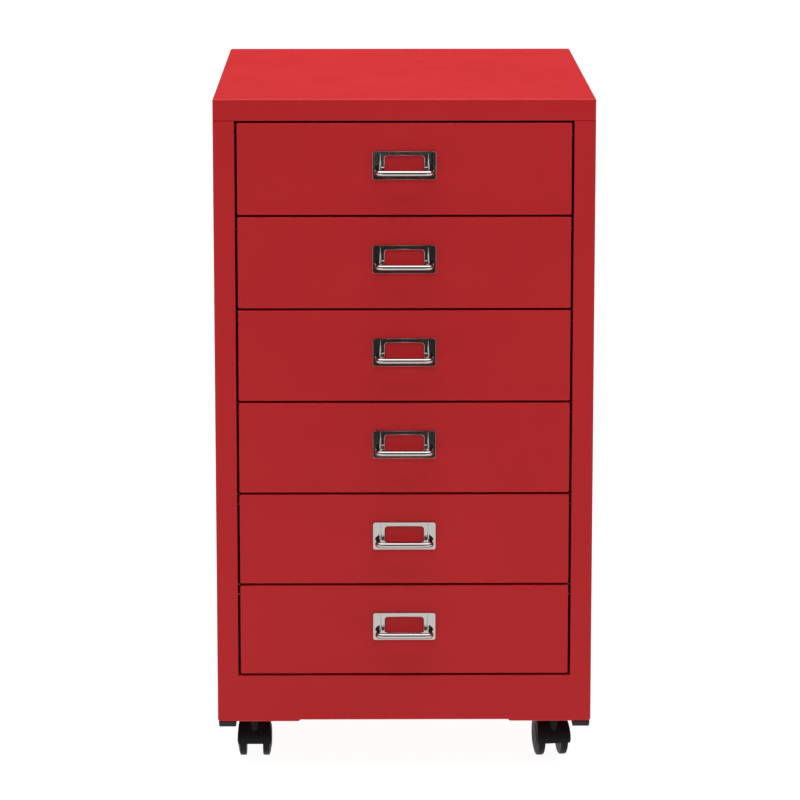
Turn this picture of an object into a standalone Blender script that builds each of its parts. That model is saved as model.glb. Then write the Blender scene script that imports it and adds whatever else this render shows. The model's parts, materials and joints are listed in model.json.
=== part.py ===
"""Six-drawer steel filing cabinet on four twin-wheel casters.

Metres, +Z up, the front looks along -Y. The origin is on the floor, under the middle of the
bounding box, so the case sits a little behind it because the drawer pulls stand out in front.
"""

import math

import bmesh
import bpy
from mathutils import Matrix, Vector

# Overall sizes
WIDTH = 0.280  # over the side panels
DEPTH = 0.380  # front frame to rear edge, without the pulls
HEIGHT = 0.506  # floor to the top panel
DRAWERS = 6

# Sheet steel and clearances
SHEET = 0.0010
TRAY_SHEET = 0.0008
BEND = 0.0016
SEAM = 0.0003  # between pieces that touch

# Case
STILE = 0.0158  # fold depth of the side panels, seen as the front stiles
TOP_FOLD = 0.0158
PLINTH_HEIGHT = 0.0357
PLINTH_FOLD = 0.0140
PLINTH_TAB = 0.0460  # length of the deeper ends of the plinth's lower edge
PLINTH_RELIEF = 0.0013  # how much higher the middle of that edge is
BASE_FOLD = 0.0120
FOOT_SIZE = 0.0140
FOOT_TAPER = 0.0012

# Drawers
DRAWER_GAP = 0.0016
SIDE_GAP = 0.0017
FRONT_FOLD = 0.0120
TRAY_BEND = 0.0020
TRAY_BEHIND_FRONT = 0.0035
TRAY_BEHIND_BACK = 0.0180  # free space between a tray and the rear of the case
TRAY_FLOOR = 0.0030  # tray underside above the lower edge of its front
TRAY_HEADROOM = 0.0056  # rim below the upper edge of the front
RIM_LIP = 0.0050
RIM_SIDE_PLAY = 0.0009

# Runners, C channels that the tray rims slide in
RUNNER_DEPTH = 0.0238
RUNNER_PLAY_BELOW = 0.0004
RUNNER_PLAY_ABOVE = 0.0008
RUNNER_REAR_PLAY = 0.0006
RUNNER_SETBACK = 0.0200  # front ends of the runners behind the drawer fronts

# Drawer pulls with a label frame
PULL_WIDTH = 0.0465
PULL_HEIGHT = 0.0215
PULL_CORNER = 0.0020
PULL_SHEET = 0.0009
PULL_RISE = 0.0025  # middle of the plate above the middle of the drawer front
POCKET_DEPTH = 0.0010
CARD_WIDTH = 0.0330
CARD_STOP = 0.0025
WINDOW_WIDTH = 0.0294
WINDOW_HEIGHT = 0.0128
WINDOW_BORDER = 0.0034  # plate above the window
WINDOW_CORNER = 0.0022
BAIL_RADIUS = 0.0020
BAIL_REACH = 0.0135  # from the drawer front to the middle of the bar
BAIL_DROP = 0.0046  # bar below the middle of the plate
BAIL_FOOT_X = 0.0203
BAIL_BAR_X = 0.0186
BAIL_BEND = 0.0036
PULL_TAB_HEIGHT = 0.0050
PULL_TAB_LENGTH = 0.0025

# Casters
HOOD_HEADROOM = 0.0050  # top of a hood to the underside of the case
STEM_FROM_SIDE = 0.0267
STEM_FROM_FRONT = 0.0300
STEM_RADIUS = 0.0030
STEM_SOCKET_PLAY = 0.0002
STEM_HOLE_PLAY = 0.0004
STEM_COLLAR_RADIUS = 0.0055
STEM_THREAD = 0.0090  # thread above the base sheet
NUT_RADIUS = 0.0060
NUT_HEIGHT = 0.0050
WHEEL_RADIUS = 0.0150
WHEEL_WIDTH = 0.0068
WHEEL_EDGE = 0.0020
WHEEL_PLAY = 0.0008
TRAIL = 0.0110  # axle behind the stem
HOOD_WALL = 0.0012
HOOD_WEB = 0.0118  # body between the two wheels
SKIRT_DROP = 0.0020  # lower edge of that body below the axle
SOCKET_RADIUS = 0.0058  # rounded front of that body
BOSS_RADIUS = 0.0043  # round the stem, up to the top of the hood
HUB_RADIUS = 0.0042
AXLE_RADIUS = 0.0015
AXLE_PLAY = 0.0001
FOOT_PLAY = 0.0010  # a swivelling hood passes this far under the feet
CASTER_YAW = {"front_left": 0, "front_right": 9, "rear_left": 0, "rear_right": 0}

ROUND = 24  # sides of a turned shape
ROD_SIDES = 2  # bevel resolution of a rod

# Levels and planes that follow from the sizes
FRONT_Y = (BAIL_REACH + BAIL_RADIUS - DEPTH) / 2
BACK_Y = FRONT_Y + DEPTH
HALF = WIDTH / 2
HOOD_RADIUS = WHEEL_RADIUS + WHEEL_PLAY + HOOD_WALL
HOOD_TOP = WHEEL_RADIUS + HOOD_RADIUS
CASTER_HEIGHT = HOOD_TOP + HOOD_HEADROOM
OPENING_HALF = HALF - STILE
OPENING_LOW = CASTER_HEIGHT + PLINTH_HEIGHT
OPENING_HIGH = HEIGHT - TOP_FOLD
FRONT_HEIGHT = (OPENING_HIGH - OPENING_LOW - DRAWER_GAP) / DRAWERS - DRAWER_GAP
FRONT_HALF = OPENING_HALF - SIDE_GAP
PITCH = FRONT_HEIGHT + DRAWER_GAP
BASE_LOW = CASTER_HEIGHT + SHEET + SEAM
TRAY_HALF = HALF - SHEET - SEAM - RUNNER_DEPTH - 2 * SEAM

RED = ("red_enamel", (0.52, 0.02, 0.025), 0.45, 0.0)
CHROME = ("chrome", (0.80, 0.80, 0.80), 0.08, 1.0)
ZINC = ("zinc_steel", (0.62, 0.62, 0.60), 0.35, 1.0)
BLACK = ("black_nylon", (0.012, 0.012, 0.012), 0.45, 0.0)
GREY = ("grey_rubber", (0.045, 0.045, 0.048), 0.70, 0.0)


def clear_scene():
    for obj in list(bpy.data.objects):
        bpy.data.objects.remove(obj)


def new_collection(name):
    collection = bpy.data.collections.new(name)
    bpy.context.scene.collection.children.link(collection)
    return collection


def material(name, colour, roughness, metallic):
    """The named material, made once."""
    found = bpy.data.materials.get(name)
    if found:
        return found
    made = bpy.data.materials.new(name)
    made.use_nodes = True
    shader = made.node_tree.nodes["Principled BSDF"]
    shader.inputs["Base Color"].default_value = (*colour, 1)
    shader.inputs["Roughness"].default_value = roughness
    shader.inputs["Metallic"].default_value = metallic
    return made


def part(name, mesh, finish, location=(0, 0, 0), parent=None, turn=0.0):
    """One sub-part of the cabinet. turn is about Z, in radians."""
    obj = bpy.data.objects.new(name, mesh)
    model.objects.link(obj)
    if not mesh.materials:
        mesh.materials.append(material(*finish))
    obj.location = location
    obj.rotation_euler = (0, 0, turn)
    obj.parent = parent
    return obj


def tool(mesh):
    """A helper body for a Boolean, left out of the model."""
    obj = bpy.data.objects.new("tool", mesh)
    cutters.objects.link(obj)
    obj.hide_render = True
    obj.display_type = "WIRE"
    return obj


def boolean(obj, mesh, operation="DIFFERENCE"):
    modifier = obj.modifiers.new(operation.lower(), "BOOLEAN")
    modifier.operation = operation
    modifier.object = tool(mesh)


def bake(obj):
    """The object's mesh with its modifiers applied. The object and its tools are removed."""
    bpy.context.view_layer.update()
    graph = bpy.context.evaluated_depsgraph_get()
    mesh = bpy.data.meshes.new_from_object(obj.evaluated_get(graph))
    used = [modifier.object for modifier in obj.modifiers if modifier.type == "BOOLEAN"]
    for gone in (obj, *used):
        bpy.data.objects.remove(gone)
    return mesh


def to_mesh(bm, name="shape"):
    mesh = bpy.data.meshes.new(name)
    bm.to_mesh(mesh)
    bm.free()
    return mesh


def block_bm(low, high):
    """A box between two corners."""
    low = Vector(low)
    high = Vector(high)
    bm = bmesh.new()
    bmesh.ops.create_cube(bm, size=1.0)
    bmesh.ops.scale(bm, vec=high - low, verts=bm.verts)
    bmesh.ops.translate(bm, vec=(low + high) / 2, verts=bm.verts)
    bm.normal_update()
    return bm


def block(low, high):
    return to_mesh(block_bm(low, high))


def cylinder(radius, low, high, sides=ROUND):
    """An upright cylinder on the Z axis."""
    bm = bmesh.new()
    bmesh.ops.create_cone(
        bm, cap_ends=True, segments=sides, radius1=radius, radius2=radius, depth=high - low
    )
    bmesh.ops.translate(bm, vec=(0, 0, (low + high) / 2), verts=bm.verts)
    return to_mesh(bm)


def moved(mesh, *matrices):
    for matrix in matrices:
        mesh.transform(matrix)
    return mesh


def shift(x=0.0, y=0.0, z=0.0):
    return Matrix.Translation((x, y, z))


def open_sides(bm, *directions):
    """Removes the faces that look along these directions."""
    gone = [f for f in bm.faces if any(f.normal.dot(Vector(d)) > 0.9 for d in directions)]
    bmesh.ops.delete(bm, geom=gone, context="FACES")


def add_sheet(obj, thickness, bend):
    """Turns an open surface into folded sheet: rounded bends, then a wall on the inner side."""
    if bend:
        bends = obj.modifiers.new("bends", "BEVEL")
        bends.width = bend
        bends.segments = 2
        bends.limit_method = "ANGLE"
    wall = obj.modifiers.new("sheet", "SOLIDIFY")
    wall.thickness = thickness
    wall.offset = -1
    wall.use_even_offset = True


def folded(name, low, high, opened, sheet, bend, finish):
    """A folded sheet pan: the box between two corners, without the sides named in opened."""
    bm = block_bm(low, high)
    open_sides(bm, *opened)
    obj = part(name, to_mesh(bm, name), finish)
    add_sheet(obj, sheet, bend)
    return obj


def welded_copy(curve_object):
    """A curve object's shape as one closed mesh. The curve is removed."""
    bpy.context.view_layer.update()
    graph = bpy.context.evaluated_depsgraph_get()
    mesh = bpy.data.meshes.new_from_object(curve_object.evaluated_get(graph))
    bpy.data.objects.remove(curve_object)
    bm = bmesh.new()
    bm.from_mesh(mesh)
    bmesh.ops.remove_doubles(bm, verts=bm.verts, dist=1e-6)
    bmesh.ops.recalc_face_normals(bm, faces=bm.faces)
    return to_mesh(bm)


def curve_object(dimensions, points, closed):
    curve = bpy.data.curves.new("outline", "CURVE")
    curve.dimensions = dimensions
    spline = curve.splines.new("POLY")
    spline.points.add(len(points) - 1)
    for control, point in zip(spline.points, points):
        control.co = (*point, *(0,) * (3 - len(point)), 1)
    spline.use_cyclic_u = closed
    obj = bpy.data.objects.new("outline", curve)
    cutters.objects.link(obj)
    return obj


def slab(outline, thickness):
    """A flat outline in XY, given this thickness about Z = 0."""
    obj = curve_object("2D", outline, closed=True)
    obj.data.fill_mode = "BOTH"
    obj.data.extrude = thickness / 2
    return welded_copy(obj)


def rod(points, radius):
    """A round bar along a path."""
    obj = curve_object("3D", points, closed=False)
    obj.data.bevel_depth = radius
    obj.data.bevel_resolution = ROD_SIDES
    obj.data.use_fill_caps = True
    return welded_copy(obj)


def arc(centre, radius, start, end, steps):
    """Points on an arc, with angles in degrees."""
    angles = [math.radians(start + (end - start) * i / steps) for i in range(steps + 1)]
    return [(centre[0] + radius * math.cos(a), centre[1] + radius * math.sin(a)) for a in angles]


def rounded_rectangle(width, height, corner, steps=3):
    x = width / 2 - corner
    z = height / 2 - corner
    points = []
    for index, centre in enumerate(((x, z), (-x, z), (-x, -z), (x, -z))):
        points += arc(centre, corner, 90 * index, 90 * index + 90, steps)
    return points


def turned(profile):
    """A solid turned about Z. The profile is (radius, height) pairs from top to bottom."""
    mesh = bpy.data.meshes.new("profile")
    points = [(radius, 0, height) for radius, height in profile]
    mesh.from_pydata(points, [(i, i + 1) for i in range(len(points) - 1)], [])
    obj = bpy.data.objects.new("profile", mesh)
    cutters.objects.link(obj)
    screw = obj.modifiers.new("turn", "SCREW")
    screw.steps = ROUND
    screw.render_steps = ROUND
    screw.use_merge_vertices = True
    screw.merge_threshold = 1e-5
    return bake(obj)


UPRIGHT = Matrix.Rotation(math.pi / 2, 4, "X")  # an XY outline becomes an XZ one, facing -Y
SIDEWAYS = Matrix.Rotation(math.pi / 2, 4, "Z") @ Matrix.Rotation(math.pi / 2, 4, "X")


# The case ---------------------------------------------------------------------------------


def make_top_panel():
    folded(
        "top_panel",
        (-HALF, FRONT_Y, OPENING_HIGH),
        (HALF, BACK_Y, HEIGHT),
        [(0, 0, -1)],
        SHEET,
        BEND,
        RED,
    )


def make_side_panel(name, side):
    """A pan whose front fold is the stile; side is -1 for left and 1 for right."""
    inner = side * OPENING_HALF
    outer = side * HALF
    folded(
        name,
        (min(inner, outer), FRONT_Y, CASTER_HEIGHT),
        (max(inner, outer), BACK_Y, OPENING_HIGH - SEAM),
        [(-side, 0, 0)],
        SHEET,
        BEND,
        RED,
    )


def make_back_panel():
    inset = SHEET + SEAM
    low = (-HALF + inset, BACK_Y - inset - SHEET, CASTER_HEIGHT + inset)
    high = (HALF - inset, BACK_Y - inset, OPENING_HIGH - SEAM - inset)
    part("back_panel", block(low, high), RED)


def make_front_plinth():
    """A channel between the stiles, with a higher lower edge in its middle."""
    half = OPENING_HALF - SEAM
    obj = folded(
        "front_plinth",
        (-half, FRONT_Y, CASTER_HEIGHT),
        (half, FRONT_Y + PLINTH_FOLD, OPENING_LOW),
        [(0, 1, 0), (1, 0, 0), (-1, 0, 0)],
        SHEET,
        BEND,
        RED,
    )
    relief_half = half - PLINTH_TAB
    relief_top = CASTER_HEIGHT + PLINTH_RELIEF
    clear = PLINTH_FOLD
    relief = block(
        (-relief_half, FRONT_Y - clear, CASTER_HEIGHT - clear),
        (relief_half, FRONT_Y + PLINTH_FOLD + clear, relief_top),
    )
    boolean(obj, relief)


def stem_places():
    """Caster name to the place of its stem on the floor plan."""
    x = HALF - STEM_FROM_SIDE
    front = FRONT_Y + STEM_FROM_FRONT
    rear = BACK_Y - STEM_FROM_FRONT
    return {
        "front_left": (-x, front),
        "front_right": (x, front),
        "rear_left": (-x, rear),
        "rear_right": (x, rear),
    }


def make_base_panel():
    """A tray with a weld nut over each caster hole."""
    inset = SHEET + SEAM
    obj = folded(
        "base_panel",
        (-HALF + inset, FRONT_Y + inset, BASE_LOW),
        (HALF - inset, BACK_Y - 2 * inset, BASE_LOW + BASE_FOLD),
        [(0, 0, 1)],
        SHEET,
        0,
        RED,
    )
    for x, y in stem_places().values():
        nut = cylinder(NUT_RADIUS, BASE_LOW + SHEET / 2, BASE_LOW + SHEET + NUT_HEIGHT, sides=6)
        boolean(obj, moved(nut, shift(x, y)), "UNION")
    for x, y in stem_places().values():
        hole = cylinder(STEM_RADIUS + STEM_HOLE_PLAY, CASTER_HEIGHT, BASE_LOW + BASE_FOLD, sides=16)
        boolean(obj, moved(hole, shift(x, y)))


def make_foot(name, across, along):
    """A tapered pad under a corner; across and along are -1 or 1 towards that corner."""
    high = CASTER_HEIGHT - SEAM
    low = HOOD_TOP + FOOT_PLAY
    inset = SEAM
    x = across * (HALF - inset - FOOT_SIZE / 2)
    y = FRONT_Y + inset + FOOT_SIZE / 2 if along < 0 else BACK_Y - inset - FOOT_SIZE / 2
    bm = block_bm((-FOOT_SIZE / 2, -FOOT_SIZE / 2, low), (FOOT_SIZE / 2, FOOT_SIZE / 2, high))
    for vert in bm.verts:
        if vert.co.z < (low + high) / 2:
            vert.co.x -= math.copysign(FOOT_TAPER / 2, vert.co.x)
            vert.co.y -= math.copysign(FOOT_TAPER / 2, vert.co.y)
    upright = [e for e in bm.edges if abs(e.verts[0].co.z - e.verts[1].co.z) > (high - low) / 2]
    bmesh.ops.bevel(bm, geom=upright, offset=FOOT_TAPER, segments=2, affect="EDGES")
    part(name, to_mesh(bm, name), GREY, location=(x, y, 0))


def make_case():
    make_top_panel()
    make_side_panel("left_side_panel", -1)
    make_side_panel("right_side_panel", 1)
    make_back_panel()
    make_front_plinth()
    make_base_panel()
    for along, end in ((-1, "front"), (1, "rear")):
        for across, side in ((-1, "left"), (1, "right")):
            make_foot(f"corner_foot_{end}_{side}", across, along)


# Drawers and runners ----------------------------------------------------------------------


def drawer_low(number):
    """Lower edge of the front of a drawer. Drawer 1 is the top one."""
    return OPENING_HIGH - number * PITCH


def rim_height(number):
    """Underside of the tray's outward rim."""
    return drawer_low(number) + FRONT_HEIGHT - TRAY_HEADROOM


def tray_front():
    return FRONT_Y + TRAY_BEHIND_FRONT


def tray_mesh():
    """A folded tray about z = 0 at its underside, with rims that hook into the runners."""
    height = FRONT_HEIGHT - TRAY_HEADROOM - TRAY_FLOOR
    rim_front = FRONT_Y + FRONT_FOLD + SEAM
    rim_width = OPENING_HALF - RIM_SIDE_PLAY - TRAY_SHEET - TRAY_HALF
    bm = block_bm(
        (-TRAY_HALF, tray_front(), 0),
        (TRAY_HALF, BACK_Y - TRAY_BEHIND_BACK, height),
    )
    open_sides(bm, (0, 0, 1))
    bends = [e for e in bm.edges if len(e.link_faces) == 2]
    bmesh.ops.bevel(bm, geom=bends, offset=TRAY_BEND, segments=2, affect="EDGES")
    everything = bm.verts[:] + bm.edges[:] + bm.faces[:]
    bmesh.ops.bisect_plane(
        bm, geom=everything, dist=1e-7, plane_co=(0, rim_front, 0), plane_no=(0, 1, 0)
    )
    near = 1e-6
    edge = [
        e
        for e in bm.edges
        if all(
            abs(abs(v.co.x) - TRAY_HALF) < near
            and abs(v.co.z - height) < near
            and v.co.y > rim_front - near
            for v in e.verts
        )
    ]
    for step in (Vector((rim_width, 0, 0)), Vector((0, 0, -RIM_LIP))):
        made = bmesh.ops.extrude_edge_only(bm, edges=edge)["geom"]
        for vert in (g for g in made if isinstance(g, bmesh.types.BMVert)):
            vert.co += Vector((math.copysign(step.x, vert.co.x) if step.x else 0, 0, step.z))
        edge = [g for g in made if isinstance(g, bmesh.types.BMEdge)]
    bmesh.ops.recalc_face_normals(bm, faces=bm.faces)
    bm.normal_update()
    floor = max(bm.faces, key=lambda face: face.calc_area())
    if floor.normal.z > 0:
        bmesh.ops.reverse_faces(bm, faces=bm.faces)
    mesh = to_mesh(bm, "tray")
    obj = part("tray", mesh, RED)
    add_sheet(obj, TRAY_SHEET, 0)
    return bake(obj)


def pull_slot_x():
    return (PULL_WIDTH + CARD_WIDTH) / 4 + PULL_SHEET


def front_mesh():
    """The drawer front about its own middle, with a slot for each tab of the pull."""
    bm = block_bm(
        (-FRONT_HALF, 0, -FRONT_HEIGHT / 2),
        (FRONT_HALF, FRONT_FOLD, FRONT_HEIGHT / 2),
    )
    open_sides(bm, (0, 1, 0))
    obj = part("front", to_mesh(bm, "front"), RED)
    add_sheet(obj, SHEET, BEND / 2)
    for side in (-1, 1):
        reach = (PULL_SHEET / 2 + SEAM, SHEET * 3, PULL_TAB_HEIGHT / 2 + SEAM)
        slot = block([-r for r in reach], reach)
        boolean(obj, moved(slot, shift(side * pull_slot_x(), 0, PULL_RISE)))
    return bake(obj)


def bail_path():
    """The bar of a pull: two arms that lean in, joined by the bar with a rounded bend."""
    foot = Vector((BAIL_FOOT_X, -SEAM - PULL_SHEET / 2, 0))
    corner = Vector((BAIL_BAR_X, -BAIL_REACH, 0))
    arm = (foot - corner).normalized()
    inward = Vector((-1, 0, 0))
    half_angle = arm.angle(inward) / 2
    tangent = BAIL_BEND / math.tan(half_angle)
    centre = corner + (arm + inward).normalized() * BAIL_BEND / math.sin(half_angle)
    start = corner + arm * tangent - centre
    turn = -(math.pi - 2 * half_angle)
    steps = 5
    bend = [centre + Matrix.Rotation(turn * i / steps, 3, "Z") @ start for i in range(steps + 1)]
    right = [foot, *bend]
    left = [Vector((-p.x, p.y, 0)) for p in reversed(right)]
    return [tuple(p) for p in right + left]


def pull_mesh():
    """A label frame and bail, about the middle of the drawer front's face."""
    plate_y = -SEAM - PULL_SHEET / 2
    outline = rounded_rectangle(PULL_WIDTH, PULL_HEIGHT, PULL_CORNER)
    plate = moved(slab(outline, PULL_SHEET), UPRIGHT, shift(y=plate_y))
    obj = part("pull", plate, CHROME)
    raised_half = CARD_WIDTH / 2 + PULL_SHEET
    overlap = PULL_SHEET / 2
    raised = block(
        (-raised_half, -SEAM - PULL_SHEET - POCKET_DEPTH, -PULL_HEIGHT / 2 + overlap),
        (raised_half, -SEAM - overlap, PULL_HEIGHT / 2 - overlap),
    )
    boolean(obj, raised, "UNION")
    boolean(obj, moved(rod(bail_path(), BAIL_RADIUS), shift(z=-BAIL_DROP)), "UNION")
    for side in (-1, 1):
        tab = block(
            (-PULL_SHEET / 2, -SEAM - overlap, -PULL_TAB_HEIGHT / 2),
            (PULL_SHEET / 2, PULL_TAB_LENGTH, PULL_TAB_HEIGHT / 2),
        )
        boolean(obj, moved(tab, shift(side * pull_slot_x())), "UNION")
    pocket = block(
        (-CARD_WIDTH / 2, -SEAM - POCKET_DEPTH, -PULL_HEIGHT / 2 + CARD_STOP),
        (CARD_WIDTH / 2, SEAM, PULL_HEIGHT),
    )
    boolean(obj, pocket)
    hole = rounded_rectangle(WINDOW_WIDTH, WINDOW_HEIGHT, WINDOW_CORNER)
    middle = PULL_HEIGHT / 2 - WINDOW_BORDER - WINDOW_HEIGHT / 2
    window = moved(slab(hole, 8 * PULL_SHEET), UPRIGHT, shift(y=plate_y, z=middle))
    boolean(obj, window)
    return moved(bake(obj), shift(z=PULL_RISE))


def runner_mesh():
    """The right-hand runner, a C channel open towards the drawer, about the rim's underside."""
    outer = HALF - SHEET - SEAM
    low = -RIM_LIP - RUNNER_PLAY_BELOW - TRAY_SHEET
    high = TRAY_SHEET + RUNNER_PLAY_ABOVE + TRAY_SHEET
    bm = block_bm(
        (outer - RUNNER_DEPTH, FRONT_Y + RUNNER_SETBACK, low),
        (outer, BACK_Y - 2 * (SHEET + SEAM) - RUNNER_REAR_PLAY, high),
    )
    open_sides(bm, (-1, 0, 0), (0, 1, 0), (0, -1, 0))
    obj = part("runner", to_mesh(bm, "runner"), ZINC)
    add_sheet(obj, TRAY_SHEET, 0)
    return bake(obj)


def make_drawers():
    tray = tray_mesh()
    front = front_mesh()
    pull = pull_mesh()
    runner_right = runner_mesh()
    runner_left = runner_right.copy()
    runner_left.transform(Matrix.Scale(-1, 4, (1, 0, 0)))
    runner_left.flip_normals()
    for number in range(1, DRAWERS + 1):
        low = drawer_low(number)
        middle = (0, FRONT_Y, low + FRONT_HEIGHT / 2)
        part(f"drawer_{number}_tray", tray, RED, location=(0, 0, low + TRAY_FLOOR))
        part(f"drawer_{number}_front", front, RED, location=middle)
        part(f"drawer_{number}_pull", pull, CHROME, location=middle)
        rim = (0, 0, rim_height(number))
        part(f"runner_{number}_right", runner_right, ZINC, location=rim)
        part(f"runner_{number}_left", runner_left, ZINC, location=rim)


# Casters ----------------------------------------------------------------------------------


def wheel_mesh():
    """A domed wheel about the Z axis, inner face at z = 0 and dome upwards, with a blind bore."""
    dome_edge = WHEEL_WIDTH - WHEEL_EDGE
    rise = WHEEL_EDGE
    dome_steps = 5
    dome = []
    for i in range(dome_steps + 1):
        angle = math.radians(90 * i / dome_steps)
        radius = WHEEL_RADIUS * math.sin(angle)
        dome.append((radius, dome_edge + rise * math.cos(angle)))
    chamfer = WHEEL_EDGE / 2
    bore = AXLE_RADIUS + AXLE_PLAY
    depth = dome_edge
    inner = [
        (WHEEL_RADIUS, chamfer),
        (WHEEL_RADIUS - chamfer, 0),
        (bore, 0),
        (bore, depth),
        (0, depth),
    ]
    return turned(dome + inner)


def hood_mesh():
    """The caster body about its axle: fender, web between the wheels and the stem socket."""
    skirt = -SKIRT_DROP
    inside = HOOD_RADIUS - HOOD_WALL / 2
    shoulder = math.degrees(math.acos(TRAIL / inside))
    outline = [(-TRAIL, skirt)]
    outline += arc((0, 0), inside, 180 - shoulder, 0, 11)
    outline += [(inside, skirt)]
    hub_angle = math.degrees(math.asin(SKIRT_DROP / HUB_RADIUS))
    outline += arc((0, 0), HUB_RADIUS, -hub_angle, -180 + hub_angle, 5)
    web = moved(slab(outline, HOOD_WEB), SIDEWAYS)
    obj = part("hood", web, BLACK)
    fender_outline = arc((0, 0), HOOD_RADIUS, 180, 0, 14)
    fender_outline += arc((0, 0), HOOD_RADIUS - HOOD_WALL, 0, 180, 14)
    fender_width = HOOD_WEB + 2 * (WHEEL_WIDTH + SEAM)
    boolean(obj, moved(slab(fender_outline, fender_width), SIDEWAYS), "UNION")
    socket = cylinder(SOCKET_RADIUS, skirt, HOOD_WALL)
    boolean(obj, moved(socket, shift(y=-TRAIL)), "UNION")
    boss = cylinder(BOSS_RADIUS, skirt / 2, HOOD_RADIUS)
    boolean(obj, moved(boss, shift(y=-TRAIL)), "UNION")
    bore = cylinder(STEM_RADIUS + STEM_SOCKET_PLAY, skirt + 2 * HOOD_WALL, 2 * HOOD_RADIUS)
    boolean(obj, moved(bore, shift(y=-TRAIL)))
    axle_hole = cylinder(AXLE_RADIUS + AXLE_PLAY, -HOOD_WEB, HOOD_WEB, sides=16)
    boolean(obj, moved(axle_hole, Matrix.Rotation(math.pi / 2, 4, "Y")))
    return bake(obj)


def stem_mesh():
    """A stem turned about Z, from its rounded foot in the socket to the top of its thread."""
    foot = WHEEL_RADIUS - SKIRT_DROP + 2 * HOOD_WALL + SEAM
    collar_low = HOOD_TOP + SEAM
    collar_high = BASE_LOW - SEAM
    tip = BASE_LOW + SHEET + STEM_THREAD
    chamfer = STEM_RADIUS / 5
    profile = [
        (0, tip),
        (STEM_RADIUS - chamfer, tip),
        (STEM_RADIUS, tip - chamfer),
        (STEM_RADIUS, collar_high),
        (STEM_COLLAR_RADIUS, collar_high),
        (STEM_COLLAR_RADIUS, collar_low),
        (STEM_RADIUS, collar_low),
        (STEM_RADIUS, foot + chamfer),
        (STEM_RADIUS - chamfer, foot),
        (0, foot),
    ]
    return turned(profile)


def make_casters():
    wheel = wheel_mesh()
    hood = hood_mesh()
    stem = stem_mesh()
    wheel_inner = HOOD_WEB / 2 + SEAM
    axle_half = wheel_inner + WHEEL_WIDTH - WHEEL_EDGE - SEAM
    to_right = Matrix.Rotation(math.pi / 2, 4, "Y")
    to_left = Matrix.Rotation(-math.pi / 2, 4, "Y")
    axle = moved(cylinder(AXLE_RADIUS, -axle_half, axle_half, sides=16), to_right)
    right_wheel = moved(wheel.copy(), to_right, shift(wheel_inner))
    left_wheel = moved(wheel.copy(), to_left, shift(-wheel_inner))
    for name, (x, y) in stem_places().items():
        caster = f"caster_{name}"
        part(f"{caster}_stem", stem, ZINC, location=(x, y, 0))
        swivel = bpy.data.objects.new(f"{caster}_swivel", None)
        swivel.location = (x, y, 0)
        swivel.rotation_euler = (0, 0, math.radians(CASTER_YAW[name]))
        model.objects.link(swivel)
        on_axle = (0, TRAIL, WHEEL_RADIUS)
        part(f"{caster}_hood", hood, BLACK, on_axle, swivel)
        part(f"{caster}_axle", axle, ZINC, on_axle, swivel)
        part(f"{caster}_wheel_left", left_wheel, BLACK, on_axle, swivel)
        part(f"{caster}_wheel_right", right_wheel, BLACK, on_axle, swivel)


def shade_round_parts():
    """Smooth shading with sharp edges where pieces are round."""
    for mesh in {obj.data for obj in model.objects if obj.type == "MESH"}:
        mesh.shade_smooth()
        mesh.set_sharp_from_angle(angle=math.radians(35))


clear_scene()
model = new_collection("filing_cabinet")
cutters = new_collection("cutters")
make_case()
make_drawers()
make_casters()
shade_round_parts()
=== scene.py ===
# %% [markdown]
# # A red steel filing cabinet, dressed in Blender
#
# The cabinet's frame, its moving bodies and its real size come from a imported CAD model. This
# lesson gives that model the surfaces a person sees: pressed sheet with rounded bends, powder
# coat, chrome pulls and moulded casters. Each new surface is worked out with numpy as a grid of
# points, so its shape can be read as a formula.

# %% Load the frame
import json
import math

import bmesh
import bpy
import numpy as np
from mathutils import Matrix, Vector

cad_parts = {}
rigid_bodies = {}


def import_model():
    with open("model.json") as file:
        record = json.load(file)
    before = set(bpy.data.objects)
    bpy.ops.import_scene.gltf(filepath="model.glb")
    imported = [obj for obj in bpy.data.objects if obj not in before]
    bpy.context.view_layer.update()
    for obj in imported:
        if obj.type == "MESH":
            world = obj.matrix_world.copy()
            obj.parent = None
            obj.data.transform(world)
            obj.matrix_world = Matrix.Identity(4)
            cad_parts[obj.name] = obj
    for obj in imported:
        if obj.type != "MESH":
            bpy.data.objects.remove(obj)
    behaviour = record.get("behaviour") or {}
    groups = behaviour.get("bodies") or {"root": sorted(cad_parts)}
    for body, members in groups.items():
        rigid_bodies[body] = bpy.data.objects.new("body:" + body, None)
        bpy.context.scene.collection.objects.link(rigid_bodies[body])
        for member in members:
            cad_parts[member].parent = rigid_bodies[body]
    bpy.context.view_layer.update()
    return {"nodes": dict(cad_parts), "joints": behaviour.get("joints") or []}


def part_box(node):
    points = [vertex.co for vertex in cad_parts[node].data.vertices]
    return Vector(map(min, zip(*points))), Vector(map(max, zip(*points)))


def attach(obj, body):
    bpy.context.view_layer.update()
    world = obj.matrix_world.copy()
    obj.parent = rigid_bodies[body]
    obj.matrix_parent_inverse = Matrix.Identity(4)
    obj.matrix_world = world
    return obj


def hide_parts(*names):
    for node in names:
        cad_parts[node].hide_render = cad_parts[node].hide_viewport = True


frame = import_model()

# %% [markdown]
# ## Where the camera stands
#
# The camera looks from slightly above the cabinet and a little left of its middle, through a long
# lens, so the front stays almost square. It is tipped down instead of shifted, because the same
# lens then also serves every other view.

# %% Camera
CAMERA_PLACE = (-0.0258, -2.9362, 0.8098)
CAMERA_PITCH = math.radians(10.83)
CAMERA_YAW = math.radians(-0.47)
CAMERA_LENS = 170.7  # millimetres, as the sensor
SENSOR_WIDTH = 36
VIEW_END = 60  # metres, beyond the backdrop

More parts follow.
